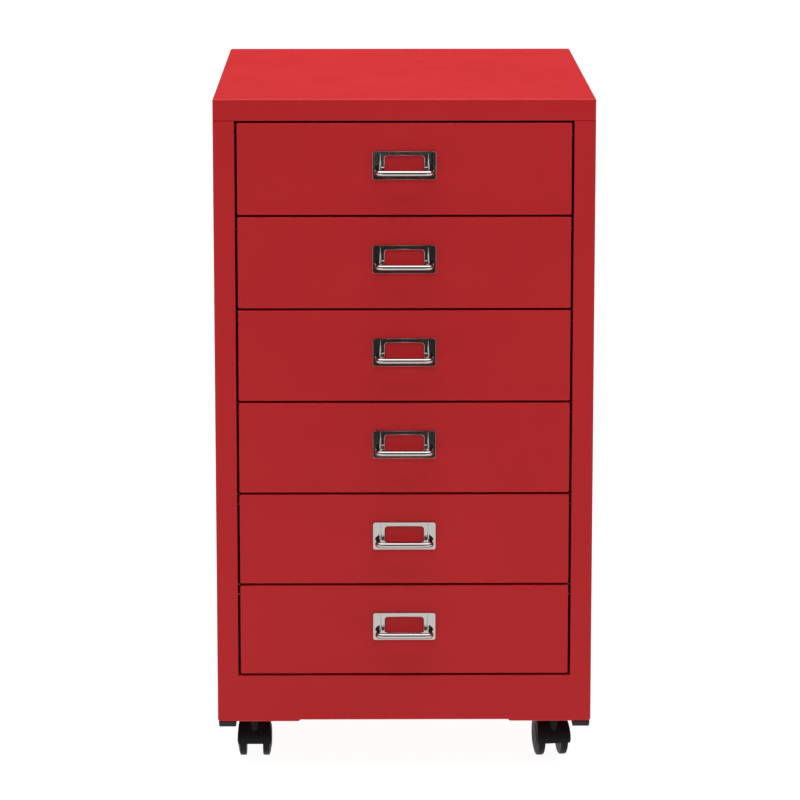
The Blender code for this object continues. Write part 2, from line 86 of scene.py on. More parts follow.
lens = bpy.data.cameras.new("studio_camera")
lens.lens = CAMERA_LENS
lens.sensor_width = SENSOR_WIDTH
lens.clip_end = VIEW_END
camera = bpy.data.objects.new("studio_camera", lens)
camera.location = CAMERA_PLACE
camera.rotation_euler = (math.pi / 2 - CAMERA_PITCH, 0, CAMERA_YAW)
bpy.context.scene.collection.objects.link(camera)
bpy.context.scene.camera = camera
print("camera", CAMERA_PLACE)

# %% [markdown]
# ## Sizes read from the frame
#
# Everything is placed from the boxes of the CAD nodes, so a piece sits exactly where its body is.

# %% Sizes
top_low, top_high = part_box("top_panel")
side_low, side_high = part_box("right_side_panel")
plinth_low, plinth_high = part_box("front_plinth")
front_low, front_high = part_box("drawer_1_front")
DRAWERS = sum(1 for name in frame["nodes"] if name.endswith("_tray"))
FACE_Y = top_low.y  # the plane of the drawer fronts and stiles
REAR_Y = top_high.y
HALF_WIDTH = top_high.x
CASE_LOW = side_low.z
OPENING_HALF = side_low.x  # inner edge of a stile
OPENING_LOW = plinth_high.z
SHEET = 0.001  # thickness of the steel
print("face at", round(FACE_Y, 4), "drawers", DRAWERS, "opening", round(2 * OPENING_HALF, 4))

# %% [markdown]
# ## From a grid of numbers to a mesh
#
# A surface is an array of points with rows and columns. The helper below turns such a grid into
# faces. A grid may close on itself along its columns, along its rows, or both, and its first and
# last rows may be filled with one flat face. Points that fall together are merged afterwards.

# %% Surface helpers
SMOOTH_ANGLE = math.radians(32)  # a fold sharper than this shows as an edge
MERGE_DISTANCE = 2e-6
SHORTEST_EDGE = 1e-7


def grid_faces(rows, columns, round_columns, round_rows):
    """Corner numbers of each face: a point, its neighbour along the row, and those one row on."""
    row = np.arange(rows if round_rows else rows - 1)
    column = np.arange(columns if round_columns else columns - 1)
    i, j = np.meshgrid(row, column, indexing="ij")
    after_i = (i + 1) % rows
    after_j = (j + 1) % columns
    corners = [i * columns + j, i * columns + after_j, after_i * columns + after_j]
    corners.append(after_i * columns + j)
    return np.stack(corners, axis=-1).reshape(-1, 4)


def surface_mesh(name, grids):
    """One mesh from grids, each (points, round columns, round rows, filled ends)."""
    points = []
    loops = []
    totals = []
    start = 0
    for grid, round_columns, round_rows, filled in grids:
        rows, columns = grid.shape[:2]
        faces = grid_faces(rows, columns, round_columns, round_rows) + start
        loops.append(faces.ravel())
        totals.append(np.full(len(faces), 4))
        if filled:
            last = (rows - 1) * columns + start
            loops.append(np.arange(columns)[::-1] + start)
            loops.append(np.arange(columns) + last)
            totals.append(np.array([columns, columns]))
        points.append(grid.reshape(-1, 3))
        start += rows * columns
    points = np.concatenate(points)
    loops = np.concatenate(loops).astype(np.int32)
    totals = np.concatenate(totals)
    starts = (np.cumsum(totals) - totals).astype(np.int32)
    mesh = bpy.data.meshes.new(name)
    mesh.vertices.add(len(points))
    mesh.vertices.foreach_set("co", points.astype(np.float32).ravel())
    mesh.loops.add(len(loops))
    mesh.loops.foreach_set("vertex_index", loops)
    mesh.polygons.add(len(starts))
    mesh.polygons.foreach_set("loop_start", starts)
    mesh.update(calc_edges=True)
    mesh.validate()
    return mesh


def piece(name, grids, material, body, slot, *stands_for):
    """A finished piece: merged, faces outwards, smooth where it bends and sharp where it folds."""
    mesh = surface_mesh(name, grids)
    bm = bmesh.new()
    bm.from_mesh(mesh)
    bmesh.ops.remove_doubles(bm, verts=bm.verts, dist=MERGE_DISTANCE)
    bmesh.ops.dissolve_degenerate(bm, edges=bm.edges, dist=SHORTEST_EDGE)
    bmesh.ops.recalc_face_normals(bm, faces=bm.faces)
    bm.to_mesh(mesh)
    bm.free()
    mesh.materials.append(material)
    mesh.shade_smooth()
    mesh.set_sharp_from_angle(angle=SMOOTH_ANGLE)
    obj = bpy.data.objects.new(name, mesh)
    bpy.context.scene.collection.objects.link(obj)
    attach(obj, body)
    if stands_for:
        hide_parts(*stands_for)
    print(name, len(mesh.polygons), "faces")
    return obj


def settle(obj):
    """Applies a piece's modifiers, then marks its folds sharp again."""
    bpy.context.view_layer.update()
    graph = bpy.context.evaluated_depsgraph_get()
    mesh = bpy.data.meshes.new_from_object(obj.evaluated_get(graph))
    obj.modifiers.clear()
    obj.data = mesh
    mesh.shade_smooth()
    mesh.set_sharp_from_angle(angle=SMOOTH_ANGLE)


def quarter(count):
    """Angles from 0 to a right angle."""
    return np.linspace(0, math.pi / 2, count)


print("edges show from", round(math.degrees(SMOOTH_ANGLE)), "degrees")


# %% [markdown]
# ## Powder coat
#
# The enamel is sprayed on as powder and melted, so it is one even red with a fine orange-peel
# skin. Colour alone would look like card: two sizes of noise tilt the surface a little, another
# changes the gloss, and the colour drifts by a few per cent.

# %% Node helpers
NOISE_LOW = 0.3  # most of a noise's values lie between these two
NOISE_HIGH = 0.7


def new_material(name):
    """A material with its node tree and its Principled shader."""
    made = bpy.data.materials.new(name)
    made.use_nodes = True
    return made, made.node_tree, made.node_tree.nodes["Principled BSDF"]


def object_noise(tree, scale, detail, stretch=(1, 1, 1)):
    """Noise of about so many lumps a metre, read on the piece's own place."""
    place = tree.nodes.new("ShaderNodeTexCoord")
    mapping = tree.nodes.new("ShaderNodeMapping")
    mapping.inputs["Scale"].default_value = stretch
    noise = tree.nodes.new("ShaderNodeTexNoise")
    noise.inputs["Scale"].default_value = scale
    noise.inputs["Detail"].default_value = detail
    tree.links.new(place.outputs["Object"], mapping.inputs["Vector"])
    tree.links.new(mapping.outputs["Vector"], noise.inputs["Vector"])
    return noise.outputs["Fac"]


def spread(tree, fac, low, high):
    """The noise stretched from its middle range to low and high."""
    node = tree.nodes.new("ShaderNodeMapRange")
    node.inputs["From Min"].default_value = NOISE_LOW
    node.inputs["From Max"].default_value = NOISE_HIGH
    node.inputs["To Min"].default_value = low
    node.inputs["To Max"].default_value = high
    tree.links.new(fac, node.inputs["Value"])
    return node.outputs["Result"]


def blend_colours(tree, fac, first, second):
    """A colour between first and second, as the factor goes from 0 to 1."""
    node = tree.nodes.new("ShaderNodeMix")
    node.data_type = "RGBA"
    node.inputs["A"].default_value = (*first, 1)
    node.inputs["B"].default_value = (*second, 1)
    tree.links.new(fac, node.inputs["Factor"])
    return node.outputs["Result"]


def bumps(tree, shader, layers):
    """Stacked bump maps: each layer is (height, strength, distance in metres)."""
    normal = None
    for height, strength, distance in layers:
        node = tree.nodes.new("ShaderNodeBump")
        node.inputs["Strength"].default_value = strength
        node.inputs["Distance"].default_value = distance
        tree.links.new(height, node.inputs["Height"])
        if normal:
            tree.links.new(normal, node.inputs["Normal"])
        normal = node.outputs["Normal"]
    tree.links.new(normal, shader.inputs["Normal"])


print("noise is stretched from", NOISE_LOW, "to", NOISE_HIGH)

# %% [markdown]
# The coat on this cabinet is half matt: it shows a soft veil where the light strikes along the
# surface and no clear reflections. A low specular level and a middling roughness give that.

# %% Red enamel
RED = (0.518, 0.0196, 0.0232)
RED_DEEP = (0.493, 0.0178, 0.0212)
COAT_ROUGHNESS = (0.31, 0.35)
COAT_SPECULAR = 0.12
DRIFT_LUMPS = 9  # lumps a metre, like the three below
GLOSS_LUMPS = 60
SAG_LUMPS = 14
PEEL_LUMPS = 900
SAG = (0.02, 0.0006)  # strength and height of the bumps
PEEL = (0.16, 0.00006)


def red_enamel(name):
    """Powder coat: drifting colour and gloss over sags and a fine orange peel."""
    made, tree, shader = new_material(name)
    drift = object_noise(tree, DRIFT_LUMPS, 3)
    colour = blend_colours(tree, spread(tree, drift, 0, 1), RED_DEEP, RED)
    tree.links.new(colour, shader.inputs["Base Color"])
    gloss = spread(tree, object_noise(tree, GLOSS_LUMPS, 4), *COAT_ROUGHNESS)
    tree.links.new(gloss, shader.inputs["Roughness"])
    shader.inputs["Specular IOR Level"].default_value = COAT_SPECULAR
    peel = object_noise(tree, PEEL_LUMPS, 2)
    sag = object_noise(tree, SAG_LUMPS, 2)
    bumps(tree, shader, [(sag, *SAG), (peel, *PEEL)])
    return made


enamel = red_enamel("red_enamel_coat")
print("coat", enamel.name, "roughness", COAT_ROUGHNESS)

# %% [markdown]
# ## Plate, nylon and rubber
#
# The pulls are bright chrome, the runners and pins dull zinc, the casters black nylon and the feet
# dark grey rubber. Chrome has hardly any colour of its own, so faint hairlines and a slow ripple
# are what tell it from a perfect mirror. Moulded parts get a fine grain, as a mould is etched.

# %% Metal, nylon and rubber


def plated(name, colour, rough, scratch, ripple):
    """Bright plate over polished steel: faint hairlines and a slow ripple from the press."""
    made, tree, shader = new_material(name)
    shader.inputs["Metallic"].default_value = 1.0
    shader.inputs["Base Color"].default_value = (*colour, 1)
    smear = spread(tree, object_noise(tree, 220, 3), *rough)
    tree.links.new(smear, shader.inputs["Roughness"])
    hairline = object_noise(tree, 500, 2, (0.06, 1, 1))
    slow = object_noise(tree, 90, 1)
    bumps(tree, shader, [(slow, ripple, 0.0002), (hairline, scratch, 0.00002)])
    return made


ZINC_DARK = (0.50, 0.50, 0.48)
ZINC_LIGHT = (0.66, 0.66, 0.64)


def zinc_plate(name):
    """Dull zinc with the cloudy patches of a plating bath."""
    made, tree, shader = new_material(name)
    shader.inputs["Metallic"].default_value = 1.0
    clouds = object_noise(tree, 70, 4)
    colour = blend_colours(tree, spread(tree, clouds, 0, 1), ZINC_DARK, ZINC_LIGHT)
    tree.links.new(colour, shader.inputs["Base Color"])
    tree.links.new(spread(tree, clouds, 0.42, 0.28), shader.inputs["Roughness"])
    bumps(tree, shader, [(object_noise(tree, 1400, 2, (1, 0.1, 1)), 0.12, 0.00003)])
    return made


def moulded(name, dark, light, rough, grain, shine=0.2):
    """Moulded plastic or rubber with a fine spark-eroded grain; it also makes the painted hole
    shade.
    """
    made, tree, shader = new_material(name)
    mottle = object_noise(tree, 120, 3)
    colour = blend_colours(tree, spread(tree, mottle, 0, 1), dark, light)
    tree.links.new(colour, shader.inputs["Base Color"])
    tree.links.new(spread(tree, mottle, *rough), shader.inputs["Roughness"])
    shader.inputs["Specular IOR Level"].default_value = shine
    bumps(tree, shader, [(object_noise(tree, 2600, 2), grain, 0.00005)])
    return made


CHROME_TINT = (0.47, 0.455, 0.44)
NYLON_DARK = (0.0075, 0.0075, 0.0075)
NYLON_LIGHT = (0.0105, 0.0105, 0.011)
RUBBER_DARK = (0.024, 0.024, 0.026)
RUBBER_LIGHT = (0.034, 0.034, 0.037)
# colours of the painted shade that stands for the dark inside of the pulls' holes
SHADE_DARK = (0.010, 0.008, 0.008)
SHADE_LIGHT = (0.014, 0.010, 0.010)
chrome = plated("bright_chrome", CHROME_TINT, rough=(0.05, 0.09), scratch=0.05, ripple=0.05)
zinc = zinc_plate("dull_zinc")
nylon = moulded(
    "black_nylon_moulding", NYLON_DARK, NYLON_LIGHT, rough=(0.42, 0.54), grain=0.25, shine=0.12
)
rubber = moulded("grey_foot_rubber", RUBBER_DARK, RUBBER_LIGHT, rough=(0.60, 0.75), grain=0.35)
shade = moulded("punched_hole_shade", SHADE_DARK, SHADE_LIGHT, rough=(0.8, 0.9), grain=0.1)
print("finishes", [m.name for m in (enamel, chrome, zinc, nylon, rubber, shade)])

# %% [markdown]
# ## Pressed pans
#
# The top, the drawer fronts and the feet are all the same idea: a flat rectangle with rounded
# corners whose border turns down. Such a pan is a stack of rounded rectangles. Each ring is the
# outline moved inwards by its inset and lifted to its height, so a short list of insets and
# heights draws the whole section, outside, edge and inside.

# %% Pan surface
NEXT_TO_BEND = 1.15  # a row of points just past a bend keeps the flat beside it evenly shaded


def rounded_rectangle(half_x, half_y, corner, inset, per_corner=10):
    """Rings of a rounded rectangle. Each corner's arc has its centre at the half size less the
    larger of corner and inset, and its radius is the corner less the inset, never below zero."""
    inset = np.asarray(inset, float)[:, None]
    turn = (np.arange(4)[:, None] * math.pi / 2 + quarter(per_corner)[None, :]).ravel()[None, :]
    way_x = np.repeat([1, -1, -1, 1], per_corner)[None, :]
    way_y = np.repeat([1, 1, -1, -1], per_corner)[None, :]
    centre = np.maximum(corner, inset)
    radius = np.maximum(corner - inset, 0)
    x = way_x * (half_x - centre) + radius * np.cos(turn)
    y = way_y * (half_y - centre) + radius * np.sin(turn)
    return x, y


def pan_section(bend, depth, wall, flat):
    """Insets and heights of a folded pan: from a ring this far in on the flat, out and round the
    bend of this radius, down the fold to this depth, over the raw edge, and back up inside, one
    wall further in."""
    a = quarter(8)
    outer_inset = bend * (1 - np.sin(a))
    outer_height = bend * (np.cos(a) - 1)
    inner = max(bend - wall, wall / 4)
    centre = wall + inner
    inner_inset = centre - inner * np.sin(a[::-1])
    inner_height = -centre + inner * np.cos(a[::-1])
    edge = np.array([[0.0, -depth + wall / 4], [wall / 4, -depth], [3 * wall / 4, -depth]])
    edge = np.vstack([edge, [[wall, -depth + wall / 4]]])
    start = [[flat, 0.0], [bend * NEXT_TO_BEND, 0.0]]
    end = [[flat, -wall]]
    outer = np.column_stack([outer_inset, outer_height])
    inside = np.column_stack([inner_inset, inner_height])
    return np.vstack([start, outer, edge, inside, end])


def pan(half_x, half_y, corner, section):
    """A grid of (across, along, height) for a pan with this section."""
    x, y = rounded_rectangle(half_x, half_y, corner, section[:, 0])
    z = np.broadcast_to(section[:, 1][:, None], x.shape)
    return np.stack([x, y, z], axis=-1)


def facing_front(points, middle):
    """Stands a flat pan up: across stays X, along becomes Z, and height points to the front."""
    x, z, height = np.moveaxis(points, -1, 0)
    return np.stack([middle[0] + x, middle[1] - height, middle[2] + z], axis=-1)


print("rings in a pan's section", len(pan_section(0.001, 0.01, SHEET, 0.01)))

# %% [markdown]
# The top panel is the largest pan. Its bend is tight, so that its front edge stays crisp.

# %% Top panel
TOP_BEND = 0.0013
TOP_CORNER = 0.0024
TOP_RING = 0.012  # inset of the innermost ring
top_middle = (top_low + top_high) / 2
top_section = pan_section(TOP_BEND, top_high.z - top_low.z, SHEET, TOP_RING)
top = pan(HALF_WIDTH, (REAR_Y - FACE_Y) / 2, TOP_CORNER, top_section)
top += (top_middle.x, top_middle.y, top_high.z)
piece("top_pan", [(top, True, False, True)], enamel, "case", "red_enamel", "top_panel")

# %% [markdown]
# ## Drawer fronts
#
# Each front is a shallow pan as well, with a tight bend so that the gap between two fronts reads
# as a thin dark line. Six fronts share one set of numbers and differ only in their middle.

# %% Drawer fronts
FRONT_BEND = 0.0011
FRONT_CORNER = 0.0012
FRONT_RING = 0.008
front_section = pan_section(FRONT_BEND, front_high.y - front_low.y, SHEET, FRONT_RING)
for number in range(1, DRAWERS + 1):
    low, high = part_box(f"drawer_{number}_front")
    middle = ((low.x + high.x) / 2, low.y, (low.z + high.z) / 2)
    half = ((high.x - low.x) / 2, (high.z - low.z) / 2)
    face = facing_front(pan(half[0], half[1], FRONT_CORNER, front_section), middle)
    name = f"drawer_{number}_front"
    grid = [(face, True, False, True)]
    piece(f"{name}_pan", grid, enamel, f"drawer_{number}", "red_enamel", name)

# %% [markdown]
# ## Sides, stiles and plinth in one skin
#
# On the real cabinet the stiles and the plinth are welded and ground flush, so no seam shows. The
# skin is ruled between two paths: the edge of the drawer opening, down one stile, along the
# plinth and up the other, and the outline of the front. Across it runs one section: a lip behind
# the opening, a small bend, the flat, a larger bend, and then the side or the plinth's underside.

# %% Paths of the front frame
LIP = 0.0080
LIP_BEND = 0.0008
OUTER_BEND = 0.0018
OUTLINE_CORNER = 0.0022
SEAM = 0.0003
TAB_LENGTH = 0.0460  # deeper stretch of the plinth next to each stile
TAB_DEPTH = 0.0013
CHAMFER = 0.0014
NEAR_MIDDLE = 0.03
STILE_STEPS = 10
side_top = side_high.z
relief_x = OPENING_HALF - SEAM - TAB_LENGTH
relief_z = CASE_LOW + TAB_DEPTH
corner_x = HALF_WIDTH - OUTLINE_CORNER
tab_end = relief_x + CHAMFER
bottom_x = np.array([corner_x, OPENING_HALF, OPENING_HALF, tab_end, relief_x, NEAR_MIDDLE])
bottom_z = np.array([CASE_LOW] * 4 + [relief_z] * 2)
bottom_deep = np.array([1, 1, 0, 0, 0, 0])
arc = quarter(9)[1:-1]


def half_frame():
    """The right half of both paths, from the top of the stile to the plinth's middle. Columns
    are inner x, inner z, outer x, outer z, in-going x and z of the outer edge, and depth."""
    down = np.linspace(0, 1, STILE_STEPS)
    zero = np.zeros(STILE_STEPS)
    inner_z = side_top + (OPENING_LOW - side_top) * down
    outer_z = side_top + (CASE_LOW + OUTLINE_CORNER - side_top) * down
    ones = np.ones(STILE_STEPS)
    stile = [OPENING_HALF * ones, inner_z, HALF_WIDTH * ones, outer_z, -ones, zero, ones]
    ones = np.ones(len(arc))
    turn_x = corner_x + OUTLINE_CORNER * np.cos(arc)
    turn_z = CASE_LOW + OUTLINE_CORNER * (1 - np.sin(arc))
    bend = [OPENING_HALF * ones, OPENING_LOW * ones, turn_x, turn_z]
    bend += [-np.cos(arc), np.sin(arc), ones]
    ones = np.ones(len(bottom_x))
    inner_x = np.minimum(bottom_x, OPENING_HALF)
    foot = [inner_x, OPENING_LOW * ones, bottom_x, bottom_z, 0 * ones, ones, bottom_deep]
    return np.concatenate([np.column_stack(stile), np.column_stack(bend), np.column_stack(foot)])


right_half = half_frame()
left_half = right_half[::-1] * np.array([-1, 1, -1, 1, -1, 1, 1])
frame_path = np.concatenate([right_half, left_half])
print("front frame path", frame_path.shape)

# %% [markdown]
# With both paths known, a row of the skin is either the inner path moved outwards or the outer
# path moved inwards, at some depth. The list of rows is the section, and Solidify makes it sheet.

# %% Skin of the case
LIP_ROW = LIP_BEND * 1.2  # the flat's first row, just past the small bend
OUTER_ROW = OUTER_BEND * NEXT_TO_BEND
PLINTH_ROW = 0.0005


def case_skin(path):
    """Rows of the section at every column of the path: the lip, the small bend (a quarter circle),
    the flat, the larger bend, the side, and a last bend and fold at the rear."""
    inner_x, inner_z, outer_x, outer_z, way_x, way_z, deep = path.T
    out_x = np.sign(inner_x) * (np.abs(inner_x) > OPENING_HALF - 1e-6)
    out_z = -1.0 * (inner_z < OPENING_LOW + 1e-6)
    rows = []

    def row_from_inner(step, y):
        depth = FACE_Y + y + 0 * inner_x
        rows.append(np.stack([inner_x + out_x * step, depth, inner_z + out_z * step], -1))

    def row_from_outer(step, y):
        rows.append(np.stack([outer_x + way_x * step, y + 0 * outer_x, outer_z + way_z * step], -1))

    row_from_inner(0, LIP)
    for a in quarter(5):
        row_from_inner(LIP_BEND * (1 - math.cos(a)), LIP_BEND * (1 - math.sin(a)))
    row_from_inner(LIP_ROW, 0)
    row_from_outer(OUTER_ROW, FACE_Y)
    for a in quarter(7):
        row_from_outer(OUTER_BEND * (1 - math.sin(a)), FACE_Y + OUTER_BEND * (1 - math.cos(a)))
    row_from_outer(0, FACE_Y + OUTER_ROW)
    short = FACE_Y + (plinth_high.y - plinth_low.y)
    last = np.where(deep > 0, REAR_Y, short)
    upright = np.abs(way_x) > 0.999
    row_from_outer(0, last - np.where(deep > 0, OUTER_ROW, PLINTH_ROW))
    for a in quarter(7):
        step = np.where(deep > 0, OUTER_BEND * (1 - math.cos(a)), 0)
        back = np.where(deep > 0, OUTER_BEND * (1 - math.sin(a)), 0)
        rows.append(np.stack([outer_x + way_x * step, last - back, outer_z + way_z * step], -1))
    fold = np.where(upright, HALF_WIDTH - OPENING_HALF, np.where(deep > 0, OUTER_BEND, 0))
    rows.append(np.stack([outer_x + way_x * fold, last, outer_z + way_z * fold], -1))
    return np.array(rows)


skin = case_skin(frame_path)
skin_stands_for = ("left_side_panel", "right_side_panel", "front_plinth")
grids = [(skin, False, False, False)]
case_shell = piece("case_skin", grids, enamel, "case", "red_enamel", *skin_stands_for)
wall = case_shell.modifiers.new("sheet", "SOLIDIFY")
wall.thickness = SHEET
wall.offset = -1
settle(case_shell)

# %% [markdown]
# The sides end in a fold that stands up inside the top panel, and the panel sits over it. It is
# hardly seen, but it closes the seam below the panel, so that no light comes through.

# %% Fold inside the top panel
PER_CORNER = 14
FOLD_INSET = SHEET + SEAM
FOLD_WALL = 0.0008
FOLD_DOWN = 0.0030
FOLD_UP = 0.0060


def top_fold():
    """A band that follows the outline inside the sheet. It goes down past the seam everywhere
    except over the drawers, where two steps lift its lower edge clear of them."""
    outline = (HALF_WIDTH, (REAR_Y - FACE_Y) / 2, TOP_CORNER)
    x, y = rounded_rectangle(*outline, [FOLD_INSET, FOLD_INSET + FOLD_WALL], PER_CORNER)
    step = OPENING_HALF + SHEET
    front = 3 * PER_CORNER  # the column where the front's straight run ends
    x = np.insert(x, [front] * 4, [-step, -step, step, step], axis=1)
    y = np.insert(y, [front] * 4, y[:, [front]], axis=1)
    low = np.full(x.shape[1], side_top - FOLD_DOWN)
    low[front + 1 : front + 3] = top_low.z + SEAM
    high = np.full_like(low, top_low.z + FOLD_UP)
    section = ((0, low), (0, high), (1, high), (1, low))
    return np.stack([np.stack([x[ring], y[ring] + top_middle.y, z], -1) for ring, z in section])


piece("side_top_fold", [(top_fold(), True, True, False)], enamel, "case", "red_enamel")

# %% [markdown]
# ## Chrome pulls with a label frame
#
# The plate is a ring: its outside is a rounded rectangle, its inside the label window, and every
# column runs straight from one to the other. The section rolls over both rims with the small
# radius that a press leaves, so each rim shows as a fine light line.

# %% Label plate
PLATE_HALF = (0.02325, 0.0103)
PLATE_CORNER = 0.0015
WINDOW_HALF = (0.0145, 0.0062)
WINDOW_CORNER = 0.0024
WINDOW_LIFT = 0.0012
PLATE_RISE = 0.0027
PLATE_LOW = 0.0003
PLATE_HEIGHT = 0.0013
RIM = 0.00016
WINDOW_RIM = 0.00040
PER_SIDE = 18


def dense_loop(half_x, half_y, corner):
    """A rounded rectangle with even points along its sides as well as its corners."""
    x, y = rounded_rectangle(half_x, half_y, corner, [0.0], PER_CORNER)
    corners = np.stack([x[0], y[0]], -1).reshape(4, PER_CORNER, 2)
    after = np.roll(corners, -1, axis=0)[:, 0]
    share = np.linspace(0, 1, PER_SIDE)[1:-1][None, :, None]
    sides = corners[:, -1][:, None] * (1 - share) + after[:, None] * share
    return np.concatenate([corners, sides], axis=1).reshape(-1, 2)


def plate_grid():
    """Rows go from the outer edge's foot, up and round its rim, across the flat, and round the
    window's rim down to its foot. A row's share is its way from the outer loop to the window."""
    outer = dense_loop(*PLATE_HALF, PLATE_CORNER)
    window = dense_loop(*WINDOW_HALF, WINDOW_CORNER) + (0, WINDOW_LIFT)
    reach = np.linalg.norm(window - outer, axis=1)
    a = quarter(7)
    rim_in = (1 - np.cos(a))[:, None] / reach
    rim_down = 1 - np.sin(a)
    flat = np.array([0.015, 0.25, 0.5, 0.75, 0.985])[:, None]
    across = RIM / reach + flat * (1 - (RIM + WINDOW_RIM) / reach)
    outer_share = RIM * np.concatenate([rim_in[:1], rim_in])
    window_share = 1 - WINDOW_RIM * np.concatenate([rim_in[::-1], rim_in[:1]])
    share = np.concatenate([outer_share, across, window_share])
    outer_rise = PLATE_HEIGHT - RIM * rim_down
    window_rise = PLATE_HEIGHT - WINDOW_RIM * rim_down[::-1]
    low = [PLATE_LOW]
    height = np.concatenate([low, outer_rise, np.full(len(flat), PLATE_HEIGHT), window_rise, low])
    points = outer[None] * (1 - share[..., None]) + window[None] * share[..., None]
    depth = np.broadcast_to(-height[:, None], share.shape)
    return np.stack([points[..., 0], depth, points[..., 1]], -1)


plate = plate_grid()
print("label plate grid", plate.shape)

# %% [markdown]
# Beside the window the sheet is creased from top to bottom, which holds the card and stiffens the
# plate where the bar pulls on it. The crease is a fine ridge that widens into a small gusset.

# %% Creases
CREASE_X = 0.0176
CREASE_TOP = PLATE_HALF[1] - 0.0006
CREASE_LOW = -0.0050
CREASE_HALF = 0.00022
CREASE_SPREAD = 0.00085
CREASE_TALL = 0.00034
CREASE_STRAIGHT = 0.2  # share of its length before it widens
CREASE_FADE = 12


def crease_grid(side):
    """Across the ridge runs a raised cosine. After a straight stretch its width grows evenly with
    the way down, and it fades out at both ends."""
    down = np.linspace(0, 1, 40)[:, None]
    widening = np.clip((down - CREASE_STRAIGHT) / (1 - CREASE_STRAIGHT), 0, 1)
    half = CREASE_HALF + CREASE_SPREAD * widening
    fade = np.clip(CREASE_FADE * down, 0, 1) * np.clip(CREASE_FADE * (1 - down), 0, 1)
    tall = CREASE_TALL * fade
    across = np.linspace(-1, 1, 13)[None]
    ridge = 0.5 + 0.5 * np.cos(math.pi * across)
    x = side * CREASE_X + half * across
    y = -(PLATE_HEIGHT - 0.00002) - tall * ridge
    z = np.broadcast_to(CREASE_TOP + (CREASE_LOW - CREASE_TOP) * down, x.shape)
    face = np.stack([x, y, z], -1)
    under = face[:, [-1, 0]] * (1, 0, 1) - (0, PLATE_HEIGHT - 0.0003, 0)
    return np.concatenate([face, under], axis=1)


print("crease grid", crease_grid(1).shape)

# %% [markdown]
# The bail is a bright round bar. Its middle is straight, its ends swing back and slightly inwards
# to the plate. A superellipse draws that in one line: the cosine and the sine of one angle, each
# raised to a small power, give nearly straight sides and tight corners.

# %% Bail
BAR_RADIUS = 0.0021
BAR_REACH = 0.0135
BAR_DROP = 0.0043
BAR_END = 0.0198
FOOT_X = 0.0192
FOOT_SUNK = 0.0008  # a foot ends just inside the plate
POWER_X = 0.19  # the smaller a power, the straighter the bar and the tighter its corners
POWER_Y = 0.27
LEG_BEGINS = 0.0100  # distance from the front where the bar starts to get thinner
LEG_SPAN = 0.0085
THINNING = 0.30


def carried_circle(path, radius, sides=20):
    """A circle carried along a flat path: at each point it stands square to the path."""
    ahead = np.gradient(path, axis=0)
    ahead /= np.linalg.norm(ahead, axis=1)[:, None]
    up = np.array([0, 0, 1.0])
    side = np.cross(ahead, up)
    turn = np.linspace(0, 2 * math.pi, sides, endpoint=False)
    radius = np.broadcast_to(radius, len(path))[:, None, None]
    ring = np.cos(turn)[None, :, None] * side[:, None] + np.sin(turn)[None, :, None] * up
    return path[:, None] + radius * ring


def bail_grid():
    """Path x is the end's reach times the cosine to a power, y the bar's reach times the sine to
    a power. Near the feet x is drawn in to the foot and the bar gets thinner."""
    t = np.linspace(0, math.pi, 161)
    c = np.cos(t)
    s = np.abs(np.sin(t))
    x = BAR_END * np.sign(c) * np.abs(c) ** POWER_X
    y = -FOOT_SUNK - (BAR_REACH - FOOT_SUNK) * s**POWER_Y
    near_foot = np.clip((y + LEG_BEGINS) / LEG_SPAN, 0, 1)
    x *= 1 - (1 - FOOT_X / BAR_END) * near_foot**2
    path = np.stack([x, y, np.full_like(x, -BAR_DROP)], -1)
    radius = BAR_RADIUS * (1 - THINNING * near_foot)
    return carried_circle(path, radius)


bail = bail_grid()
print("bail grid", bail.shape)

# %% [markdown]
# Where each end of the bar passes through the plate, the press has left a three-cornered hole. The
# hole is not cut: a dark three-cornered patch a hair above the plate is painted shade for its
# inside.

# %% Painted shade of the holes
HOLE_NEAR = 0.0186
HOLE_POINT = 0.0220
HOLE_TOP = 0.0014
HOLE_TIP = -0.0024
HOLE_LOW = -0.0056
# the patch of painted shade reaches from inside the plate to a hair above its face
HOLE_BACK = PLATE_HEIGHT - 0.0006
HOLE_FACE = PLATE_HEIGHT + 0.00005


def hole_shade_grid(side):
    """A dark three-cornered patch of painted shade for the hole, pointing to the plate's end, a
    hair above it.
    """
    corners = np.array([(HOLE_NEAR, HOLE_LOW), (HOLE_POINT, HOLE_TIP), (HOLE_NEAR, HOLE_TOP)])
    corners = corners * (side, 1)
    return np.stack([np.insert(corners, 1, -height, axis=1) for height in (HOLE_BACK, HOLE_FACE)])


print("hole grid", hole_shade_grid(1).shape)

# %% [markdown]
# Plate, creases and bar are one piece of metal on each drawer. They are drawn round the plate's
# middle and then moved to the six fronts.

# %% Pulls in their places
for number in range(1, DRAWERS + 1):
    low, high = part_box(f"drawer_{number}_front")
    middle = np.array([0, low.y, (low.z + high.z) / 2 + PLATE_RISE])
    grids = [(plate + middle, True, True, False), (bail + middle, True, False, True)]
    name = f"drawer_{number}_pull"
    for side in (-1, 1):
        grids.append((crease_grid(side) + middle, True, False, True))
    piece(f"{name}_chrome", grids, chrome, f"drawer_{number}", "chrome", name)
    # dark patches of painted shade stand for the holes beside the bar's ends
    hole_shades = [(hole_shade_grid(side) + middle, True, False, True) for side in (-1, 1)]
    piece(f"{name}_holes", hole_shades, shade, f"drawer_{number}", "black_nylon")

# %% [markdown]
# ## Twin-wheel casters
#
# The wheel is turned: a section goes round the axle. The hood is an arch: a flat section with
# rounded shoulders is carried round the wheel. Between the wheels stands the web that holds the
# axle and the stem.

# %% Wheel
WHEEL_RADIUS = 0.0150
WHEEL_WIDTH = 0.0068
WHEEL_INNER = 0.0062
WHEEL_HUB = 0.0045
WHEEL_EDGE = 0.0011
DOME_FALL = 0.0021
DOME_POWER = 3
GROOVES = ((0.0100, 0.0006), (0.0040, 0.0007))  # radius and width of each
GROOVE_DEPTH = 0.0004


